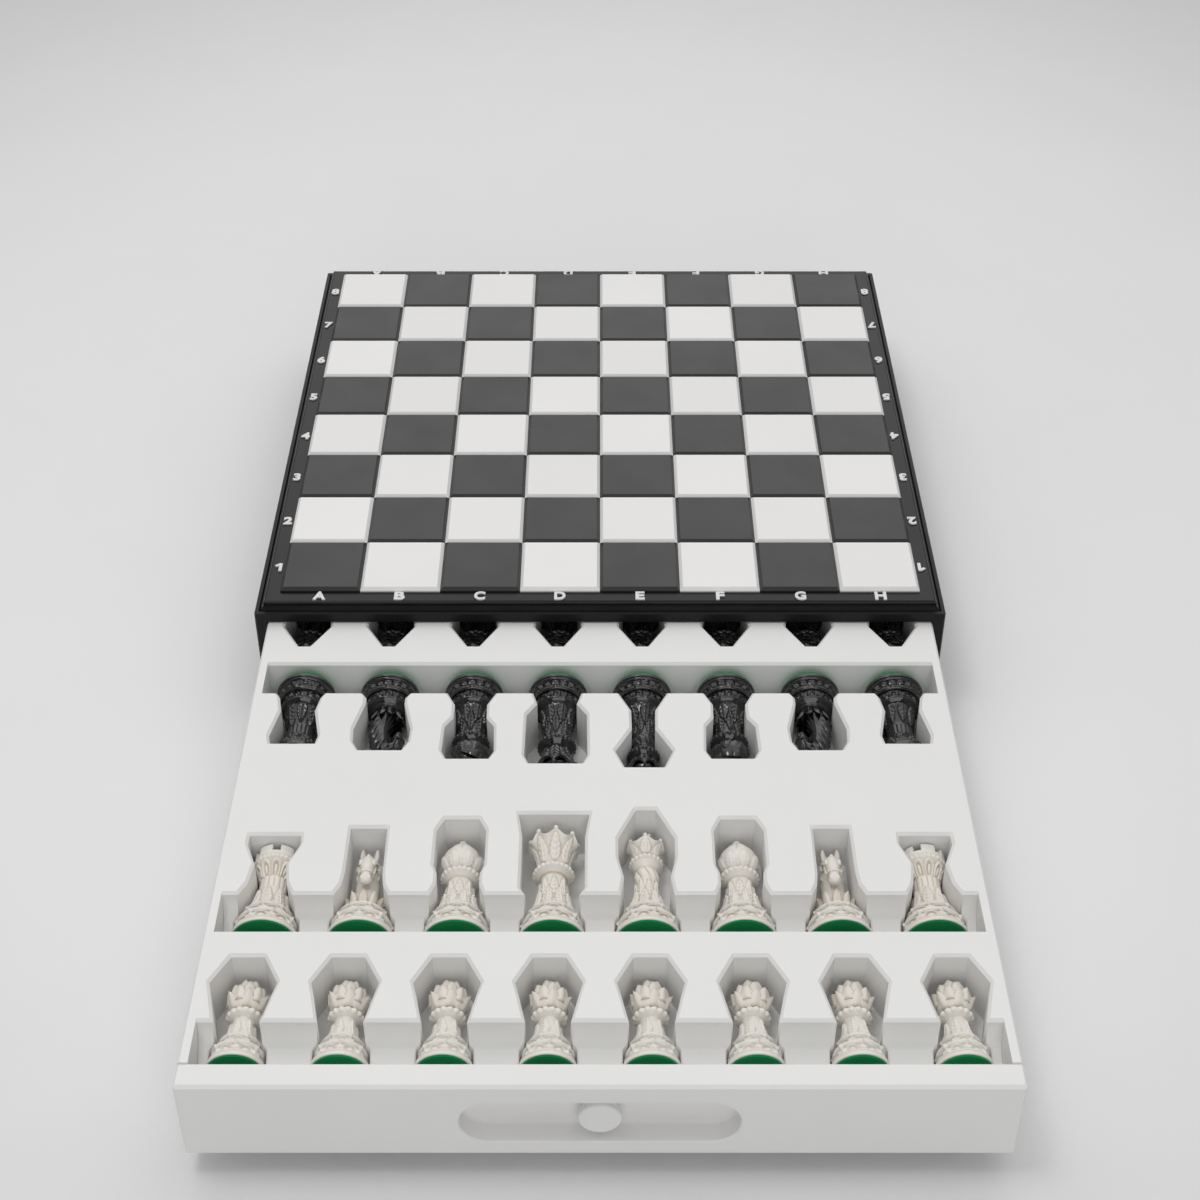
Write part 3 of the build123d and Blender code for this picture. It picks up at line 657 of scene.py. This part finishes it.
def band(place, major, minor, tilt, squeeze):
    """A strap bent to a ring, tilted about the cross axis in degrees, in millimetres."""
    bpy.ops.object.select_all(action="DESELECT")
    bpy.ops.mesh.primitive_torus_add(major_radius=major, minor_radius=minor,
                                     major_segments=40, minor_segments=10)
    strap = bpy.context.object
    strap.scale = (1, squeeze, 1.6)
    strap.rotation_euler = (0, math.radians(tilt), 0)
    strap.location = place
    bpy.ops.object.transform_apply(location=True, rotation=True, scale=True)
    return strap


clay = [
    roll("neck", [(0, 0, 17.5, 7.2, 6.8), (-1.6, 0, 24, 7.0, 6.0), (-2.8, 0, 31, 6.2, 5.2),
                  (-2.6, 0, 38, 5.8, 4.7), (-1.4, 0, 44, 5.6, 4.5), (1.0, 0, 49.6, 4.6, 4.2)]),
    roll("head", [(0.8, 0, 50.0, 4.6, 4.6), (4.4, 0, 48.6, 4.0, 4.8), (6.0, 0, 44.2, 3.6, 4.1),
                  (6.8, 0, 39.8, 3.0, 3.3), (6.8, 0, 36.0, 2.8, 3.2), (6.6, 0, 34.0, 2.4, 2.8)]),
    ball((4.0, 0, 45.4), (3.2, 4.5, 4.6), -8),
    ball((7.0, 0, 35.2), (2.4, 3.2, 2.6), 10),
    band((6.8, 0, 39.0), 3.5, 0.42, -4, 1.02),
    band((3.2, 0, 49.2), 5.2, 0.42, 34, 0.94),
]
for side in (-1, 1):
    clay += [
        ball((7.5, 3.3 * side, 45.9), (1.0, 1.0, 1.25), 20),
        ball((7.7, 3.3 * side, 47.5), (1.0, 1.1, 0.6), 30),
        ball((8.7, 1.8 * side, 35.4), (0.8, 0.9, 1.3), 10),
        ball((5.6, 3.9 * side, 42.6), (0.5, 0.5, 4.2), -16),
        roll("ear", [(0.4, 2.2 * side, 50.8, 1.5, 1.5), (1.2, 3.1 * side, 54.4, 1.2, 2.0),
                     (1.9, 3.5 * side, 57.4, 1.0, 1.5), (2.4, 3.6 * side, 60.4, 0.35, 0.35)]),
    ]
    for i in range(7):
        share = i / 6
        crest_x = -2.2 - 6.4 * math.sin(share * math.pi * 0.62)
        crest_z = 54.0 - 26.0 * share
        clay.append(roll("lock", [(crest_x + 0.4, 0.5 * side, crest_z + 1.5, 1.6, 1.6),
                                  (crest_x + 1.6, 3.4 * side, crest_z - 2.2, 1.7, 1.7),
                                  (crest_x + 3.4, 5.0 * side, crest_z - 5.6, 1.2, 1.2),
                                  (crest_x + 4.6, 5.2 * side, crest_z - 8.8, 0.5, 0.5)]))
clay += [ball((3.0, 0, 52.6), (1.2, 1.6, 2.8), 62), ball((6.2, 0, 50.6), (0.8, 1.1, 2.2), 40),
         ball((7.9, 0, 48.4), (0.6, 0.7, 1.8), 18)]
knight_head = joined(clay, "knight_head")
knight_head.data.remesh_voxel_size = 0.42
bpy.ops.object.voxel_remesh()
calm = knight_head.modifiers.new("calm", "SMOOTH")
calm.factor = 0.5
calm.iterations = 2
bpy.ops.object.modifier_apply(modifier=calm.name)
knight_head.scale = (mm, mm, mm)
bpy.ops.object.transform_apply(location=True, rotation=True, scale=True)
knight_collar = petals(10, 17.0, 11.0, 6.4, 8.0, 1.6, 1.8, 0)
knight_form = with_painted_shade(joined([knight_foot, knight_head, knight_collar], "knight_form"))

# Bishops. A mitre with a slanted cleft, on a waisted stem wrapped in two rows of leaves.
# The cleft was sawn through the master before it was cast.
bishop_steps = pedestal_steps(officer_radius) + [
    (9.6, 18.8, 0), (6.0, 35.3, -0.9), (6.4, 38.4, 0), (9.0, 40.4, 0), (9.0, 42.4, 0.5),
    (6.4, 44.4, 0), (9.8, 51.4, 0.9), (7.6, 58.5, 0.5), (1.4, 64.5, 0.6), (2.2, 65.7, 0.3), (0.6, 67.5, 0.6),
]
bishop_mitre = turned("bishop_mitre", lathe_line(bishop_steps, 0.5), 144)
carve(bishop_mitre, pedestal_bands(8) + [
    (leaf_relief, 8, 18.6, 30.0, 1.5, 0), (leaf_relief, 8, 25.0, 37.0, 1.2, 0.5),
    (bead_relief, 22, 40.2, 42.6, 0.7, 0), (leaf_relief, 8, 44.6, 54.0, 0.9, 0),
    (flute_relief, 8, 54.5, 63.5, 0.6, 0),
])
bpy.ops.object.select_all(action="DESELECT")
bpy.ops.mesh.primitive_cube_add(size=1, location=(0, 0, 0))
saw = bpy.context.object
cleft_width = 1.6
cleft_tilt = -35
saw.scale = (officer_radius * mm, 2 * officer_radius * mm, cleft_width * mm)
saw.rotation_euler = (0, math.radians(cleft_tilt), 0)
saw.location = (9.2 * mm, 0, 60.2 * mm)
bpy.ops.object.transform_apply(location=True, rotation=True, scale=True)
cleft = bishop_mitre.modifiers.new("cleft", "BOOLEAN")
cleft.object = saw
cleft.solver = "EXACT"
bpy.context.view_layer.objects.active = bishop_mitre
bpy.ops.object.modifier_apply(modifier=cleft.name)
bpy.data.objects.remove(saw)
bishop_form = with_painted_shade(joined([bishop_mitre, petals(8, 44.0, 10.5, 5.4, 6.6, 2.6, 0.8, 0.5)], "bishop_form"))

# Queens. A coronet of eight leaf points with a pearl on each, over a tall stem in two rows of leaves.
# The points were cut between the pearls with a round gouge.
queen_steps = pedestal_steps(officer_radius) + [
    (9.6, 18.9, 0), (6.2, 37.7, -1.0), (6.4, 40.9, 0), (9.4, 43.0, 0), (9.4, 45.2, 0.5), (6.8, 47.3, 0),
    (7.6, 50.6, 0), (12.8, 65.6, -1.0), (10.8, 65.6, 0), (9.2, 61.9, 0), (3.0, 66.4, 1.0),
    (1.6, 67.0, 0), (2.4, 68.9, 0.3), (0.6, 71.0, 0.6),
]
queen_coronet = turned("queen_coronet", lathe_line(queen_steps, 0.5), 144)
carve(queen_coronet, pedestal_bands(8) + [
    (leaf_relief, 8, 18.7, 31.5, 1.5, 0), (leaf_relief, 8, 26.5, 39.0, 1.2, 0.5),
    (bead_relief, 24, 42.8, 45.4, 0.7, 0), (leaf_relief, 8, 49.0, 64.0, 1.1, 0.5),
])


def gouged(form, points, low, high, inner, depth):
    """Lower a crown's rim between its points, in millimetres."""
    for corner in form.data.vertices:
        reach = math.hypot(corner.co.x, corner.co.y) / mm
        share = (corner.co.z / mm - low) / (high - low)
        if reach > inner and share > 0:
            wave = 0.5 - 0.5 * math.cos(points * math.atan2(corner.co.y, corner.co.x))
            corner.co.z -= depth * wave ** 0.7 * min(share, 1) * mm


gouged(queen_coronet, 8, 58.0, 65.6, 9.0, 3.4)


def pearls(count, radius, height, size):
    """A ring of separate beads, in millimetres."""
    bpy.ops.object.select_all(action="DESELECT")
    bpy.ops.mesh.primitive_uv_sphere_add(segments=16, ring_count=10, radius=size * mm, location=(0, 0, 0))
    bead = bpy.context.object
    bpy.ops.object.mode_set(mode="EDIT")
    bpy.ops.mesh.select_all(action="SELECT")
    bpy.ops.transform.resize(value=(1, 1, 1.15))
    bpy.ops.transform.translate(value=(radius * mm, 0, height * mm))
    rest = 2 * math.pi * (count - 1) / count
    bpy.ops.mesh.spin(steps=count - 1, dupli=True, angle=rest, center=(0, 0, 0), axis=(0, 0, 1))
    bpy.ops.object.mode_set(mode="OBJECT")
    return bead


queen_form = with_painted_shade(joined([queen_coronet, pearls(8, 11.9, 66.4, 1.25)], "queen_form"))

# Kings. A crown with an orb and a flared cross, over a twisted column wrapped in leaves.
# The cross was cut from a block and pressed into the orb.
king_steps = pedestal_steps(officer_radius) + [
    (9.6, 19.0, 0), (5.2, 33.1, -1.0), (5.2, 45.6, 0), (7.6, 50.4, 0), (7.6, 52.4, 0.4), (5.8, 54.1, 0),
    (6.4, 56.4, 0), (9.4, 63.8, -0.5), (7.8, 63.8, 0), (6.8, 61.5, 0), (2.4, 66.6, 1.0), (1.5, 67.2, 0),
    (1.5, 70.6, 1.5),
]
king_crown = turned("king_crown", lathe_line(king_steps, 0.5), 144)
carve(king_crown, pedestal_bands(8) + [
    (leaf_relief, 8, 18.8, 31.0, 1.5, 0), (leaf_relief, 8, 27.0, 38.0, 1.0, 0.5),
    (rope_relief, 7, 37.0, 46.5, 1.1, 0), (bead_relief, 20, 50.2, 52.6, 0.7, 0),
    (leaf_relief, 6, 55.0, 63.0, 1.0, 0.5),
])
gouged(king_crown, 6, 58.5, 63.8, 6.6, 2.4)
bpy.ops.object.select_all(action="DESELECT")
cross_bar = 1.7 * mm
cross_arm = 2.2 * mm
bpy.ops.mesh.primitive_cube_add(size=cross_bar, location=(0, 0, 70.9 * mm))
cross = bpy.context.object
bpy.ops.object.mode_set(mode="EDIT")
bpy.ops.mesh.select_mode(type="FACE")
for toward in ((1, 0, 0), (-1, 0, 0), (0, 0, 1), (0, 0, -1)):
    bpy.ops.mesh.select_all(action="DESELECT")
    bpy.ops.object.mode_set(mode="OBJECT")
    for face in cross.data.polygons:
        uncut = abs(face.area - cross_bar ** 2) < 0.1 * cross_bar ** 2
        face.select = uncut and face.normal.x * toward[0] + face.normal.z * toward[2] > 0.9
    bpy.ops.object.mode_set(mode="EDIT")
    step = tuple(cross_arm * t for t in toward)
    bpy.ops.mesh.extrude_region_move(TRANSFORM_OT_translate={"value": step})
    bpy.ops.transform.resize(value=(1.3, 1.2, 1.3))
bpy.ops.object.mode_set(mode="OBJECT")
ease = cross.modifiers.new("ease", "BEVEL")
ease.width = 0.2 * mm
ease.segments = 2
bpy.ops.object.modifier_apply(modifier=ease.name)
king_form = with_painted_shade(joined([king_crown, cross, pearls(6, 8.7, 64.4, 1.0)], "king_form"))


# Resin. Ivory resin is warm and satin; painted shade darkens and browns its hollows and a painted highlight
# pales its edges.
# Black resin is polished, with pale marbling stirred through it, painted shade in its hollows and a painted
# grey highlight on its raised edges.
def resin(name, hollow_shade, body, edge_highlight, gloss, skin_depth):
    """Cast resin with painted shade in its hollows, a painted highlight on its edges and a fine cast skin."""
    cast = bpy.data.materials.new(name)
    cast.use_nodes = True
    tree = cast.node_tree
    shader = tree.nodes["Principled BSDF"]
    place = tree.nodes.new("ShaderNodeTexCoord")
    wear = tree.nodes.new("ShaderNodeVertexColor")
    wear.layer_name = "wear"
    # The ramp runs from painted shade in the hollows, through the resin's own colour, to a painted highlight on
    # the edges.
    shade_ramp = tree.nodes.new("ShaderNodeValToRGB")
    shade_ramp.color_ramp.elements[0].position = 0.04
    shade_ramp.color_ramp.elements[0].color = (*hollow_shade, 1)
    shade_ramp.color_ramp.elements[1].position = 0.96
    shade_ramp.color_ramp.elements[1].color = (*edge_highlight, 1)
    middle = shade_ramp.color_ramp.elements.new(0.34)
    middle.color = (*body, 1)
    skin = tree.nodes.new("ShaderNodeTexNoise")
    skin.inputs["Scale"].default_value = 700
    skin.inputs["Detail"].default_value = 3
    sheen = tree.nodes.new("ShaderNodeMapRange")
    sheen.inputs["From Min"].default_value = 0.3
    sheen.inputs["From Max"].default_value = 0.7
    sheen.inputs["To Min"].default_value = gloss[0]
    sheen.inputs["To Max"].default_value = gloss[1]
    bump = tree.nodes.new("ShaderNodeBump")
    bump.inputs["Strength"].default_value = skin_depth
    bump.inputs["Distance"].default_value = 0.0003
    tree.links.new(wear.outputs["Color"], shade_ramp.inputs["Fac"])
    tree.links.new(place.outputs["Object"], skin.inputs["Vector"])
    tree.links.new(skin.outputs["Fac"], sheen.inputs["Value"])
    tree.links.new(sheen.outputs["Result"], shader.inputs["Roughness"])
    tree.links.new(skin.outputs["Fac"], bump.inputs["Height"])
    tree.links.new(bump.outputs["Normal"], shader.inputs["Normal"])
    tree.links.new(shade_ramp.outputs["Color"], shader.inputs["Base Color"])
    return cast


# The first colour of each resin is painted shade for the hollows and the last is a painted highlight for the
# edges.
ivory_resin = resin("ivory_resin", (0.57, 0.47, 0.35), (0.80, 0.765, 0.70), (0.85, 0.825, 0.77),
                    (0.36, 0.50), 0.10)
black_resin = resin("black_resin", (0.003, 0.003, 0.003), (0.006, 0.006, 0.006), (0.016, 0.016, 0.016),
                    (0.07, 0.13), 0.02)
black_resin.node_tree.nodes["Principled BSDF"].inputs["Coat Weight"].default_value = 0.5


def marbled(cast, vein):
    """Stir pale veins through a resin."""
    tree = cast.node_tree
    shader = tree.nodes["Principled BSDF"]
    ground = shader.inputs["Base Color"].links[0].from_socket
    stir = tree.nodes.new("ShaderNodeTexNoise")
    stir.inputs["Scale"].default_value = 70
    stir.inputs["Detail"].default_value = 7
    stir.inputs["Distortion"].default_value = 1.6
    thread = tree.nodes.new("ShaderNodeValToRGB")
    thread.color_ramp.elements[0].position = 0.47
    thread.color_ramp.elements[0].color = (0, 0, 0, 1)
    thread.color_ramp.elements[1].position = 0.55
    thread.color_ramp.elements[1].color = (0, 0, 0, 1)
    crest = thread.color_ramp.elements.new(0.51)
    crest.color = (1, 1, 1, 1)
    blend = tree.nodes.new("ShaderNodeMix")
    blend.data_type = "RGBA"
    blend.inputs["B"].default_value = (*vein, 1)
    tree.links.new(tree.nodes["Texture Coordinate"].outputs["Object"], stir.inputs["Vector"])
    tree.links.new(stir.outputs["Fac"], thread.inputs["Fac"])
    tree.links.new(thread.outputs["Color"], blend.inputs["Factor"])
    tree.links.new(ground, blend.inputs["A"])
    tree.links.new(blend.outputs["Result"], shader.inputs["Base Color"])


marbled(black_resin, (0.025, 0.025, 0.026))

# Felt. A disc of green baize under each foot, die-cut a little smaller than the foot, so its edge is soft
# and slightly puffed.
felt_cloth = lacquer("felt_cloth", (0.003, 0.185, 0.050), (0.004, 0.235, 0.068), (0.88, 0.98), 0.9, 1900, 6)
felt_shader = felt_cloth.node_tree.nodes["Principled BSDF"]
felt_shader.inputs["Sheen Weight"].default_value = 0.1
felt_shader.inputs["Sheen Roughness"].default_value = 0.5
felt_shader.inputs["Specular IOR Level"].default_value = 0.1


def felt_form(base_radius):
    """One felt disc with a puffed edge."""
    bpy.ops.object.select_all(action="DESELECT")
    bpy.ops.mesh.primitive_cylinder_add(vertices=96, radius=(base_radius - 0.5) * mm, depth=felt_thickness * mm,
                                        location=(0, 0, felt_thickness / 2 * mm))
    disc = bpy.context.object
    bpy.ops.object.transform_apply(location=True, rotation=True, scale=True)
    puff = disc.modifiers.new("puff", "BEVEL")
    puff.width = 0.3 * mm
    puff.segments = 3
    bpy.ops.object.modifier_apply(modifier=puff.name)
    bpy.ops.object.shade_smooth_by_angle(angle=math.radians(50))
    return disc


# Laying the men in. Each lies on its side in its pocket with its foot in the trough, ivory heads to the
# back and black heads to the front. Ivory horses look up, and black ones lie on their cheeks.
def laid(form, name, node, turn):
    """A copy of a standing form, laid where the node of that man lies."""
    low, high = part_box(node)
    ivory = node.startswith("white")
    bpy.ops.object.select_all(action="DESELECT")
    form.select_set(True)
    bpy.context.view_layer.objects.active = form
    bpy.ops.object.duplicate(linked=False)
    piece = bpy.context.object
    piece.name = name
    piece.data.name = name
    piece.rotation_mode = "ZYX"
    piece.rotation_euler = (math.radians(-90 if ivory else 90), 0, math.radians(turn))
    piece.location = ((low.x + high.x) / 2, low.y if ivory else high.y, (low.z + high.z) / 2)
    bpy.ops.object.transform_apply(location=True, rotation=True, scale=True)
    piece.rotation_mode = "XYZ"
    return piece


kinds = {"pawn": pawn_form, "rook": rook_form, "knight": knight_form, "bishop": bishop_form,
         "queen": queen_form, "king": king_form}
pawn_felt = felt_form(pawn_radius)
officer_felt = felt_form(officer_radius)
body_of = {node: body for body, members in frame["record"]["behaviour"]["bodies"].items() for node in members}
for node in sorted(nodes):
    colour, _, rest = node.partition("_")
    kind = rest.split("_")[0]
    if kind not in kinds or colour not in ("white", "black") or rest.endswith("insert"):
        continue
    if kind != "knight":
        turn = 37 * len(rest)
    elif colour == "white":
        turn = -90
    else:
        turn = 180 if rest.endswith("right") else 0
    figure = laid(kinds[kind], node + "_figure", node, turn)
    figure.data.materials.clear()
    figure.data.materials.append(ivory_resin if colour == "white" else black_resin)
    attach(figure, body_of[node])
    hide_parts(node)
    disc = laid(pawn_felt if kind == "pawn" else officer_felt, node + "_felt", node, 0)
    disc.data.materials.clear()
    disc.data.materials.append(felt_cloth)
    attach(disc, body_of[node])
for form in list(kinds.values()) + [pawn_felt, officer_felt]:
    bpy.data.objects.remove(form)

# Table. A plain pale sweep of paper under and behind the box, painted darker with distance from a spot in front
# of the box as a painted pool of light.
bpy.ops.object.select_all(action="DESELECT")
bpy.ops.mesh.primitive_plane_add(size=12, location=(0, 2, 0))
table = bpy.context.object
table.name = "table"
paper = lacquer("table_paper", (0.875, 0.875, 0.878), (0.885, 0.885, 0.888), (0.7, 0.8), 0.05)
paper_tree = paper.node_tree
paper_shader = paper_tree.nodes["Principled BSDF"]
# Painted light: the paper's colour falls to 0.72 of itself away from a point in front of the box.
away = paper_tree.nodes.new("ShaderNodeVectorMath")
away.operation = "DISTANCE"
away.inputs[1].default_value = (0, -1.85, 0)
painted_falloff = paper_tree.nodes.new("ShaderNodeMapRange")
painted_falloff.interpolation_type = "SMOOTHSTEP"
painted_falloff.inputs["From Min"].default_value = 0.38
painted_falloff.inputs["From Max"].default_value = 1.2
painted_falloff.inputs["To Min"].default_value = 1
painted_falloff.inputs["To Max"].default_value = 0.72
painted_dimming = paper_tree.nodes.new("ShaderNodeHueSaturation")
paper_tree.links.new(paper_tree.nodes["Texture Coordinate"].outputs["Object"], away.inputs[0])
paper_tree.links.new(away.outputs["Value"], painted_falloff.inputs["Value"])
paper_tree.links.new(painted_falloff.outputs["Result"], painted_dimming.inputs["Value"])
paper_tree.links.new(paper_shader.inputs["Base Color"].links[0].from_socket, painted_dimming.inputs["Color"])
paper_tree.links.new(painted_dimming.outputs["Color"], paper_shader.inputs["Base Color"])
table.data.materials.append(paper)

# Light. A white room that is brightest overhead and a little behind, a soft box high on the left, a pale
# screen behind and a low fill in front, so that polished black shows clear lights and darks.
room = bpy.data.worlds.new("room")
bpy.context.scene.world = room
room.use_nodes = True
room_tree = room.node_tree
room_light = room_tree.nodes["Background"]
room_light.inputs["Color"].default_value = (1, 1, 1, 1)
looking = room_tree.nodes.new("ShaderNodeTexCoord")
facing = room_tree.nodes.new("ShaderNodeVectorMath")
facing.operation = "DOT_PRODUCT"
facing.inputs[1].default_value = (0, 0.42, 0.907)
swell = room_tree.nodes.new("ShaderNodeMapRange")
swell.interpolation_type = "SMOOTHSTEP"
swell.inputs["From Min"].default_value = 0.35
swell.inputs["From Max"].default_value = 0.95
swell.inputs["To Min"].default_value = 0.13
swell.inputs["To Max"].default_value = 1.0
room_tree.links.new(looking.outputs["Generated"], facing.inputs[0])
room_tree.links.new(facing.outputs["Value"], swell.inputs["Value"])
path = room_tree.nodes.new("ShaderNodeLightPath")
backdrop = room_tree.nodes.new("ShaderNodeMix")
backdrop.data_type = "FLOAT"
backdrop.inputs["B"].default_value = 0.55
room_tree.links.new(path.outputs["Is Camera Ray"], backdrop.inputs["Factor"])
room_tree.links.new(swell.outputs["Result"], backdrop.inputs["A"])
room_tree.links.new(backdrop.outputs["Result"], room_light.inputs["Strength"])
lamps = (
    ("softbox", (-0.55, -0.45, 2.1), 0.55, 6.5),
    ("screen", (0.0, 1.9, 1.3), 2.0, 6),
    ("fill", (0.1, -2.4, 1.1), 1.6, 13.5),
)
for name, place, size, power in lamps:
    bpy.ops.object.light_add(type="AREA", location=place)
    lamp = bpy.context.object
    lamp.name = name
    lamp.data.shape = "SQUARE"
    lamp.data.size = size
    lamp.data.energy = power
    toward = lamp.location - type(lamp.location)((0.0, -0.15, 0.0))
    lamp.rotation_euler = toward.to_track_quat("Z", "Y").to_euler()

# Camera. Straight in front of the drawer, above the table, with a long lens.
bpy.ops.object.camera_add(location=(0, -1.06551, border_top + 0.695295), rotation=(math.radians(51.64), 0, 0))
camera = bpy.context.object
camera.data.lens = 60
camera.data.sensor_width = 36
camera.data.clip_start = 0.01
bpy.context.scene.camera = camera
bpy.context.scene.view_settings.view_transform = "Standard"
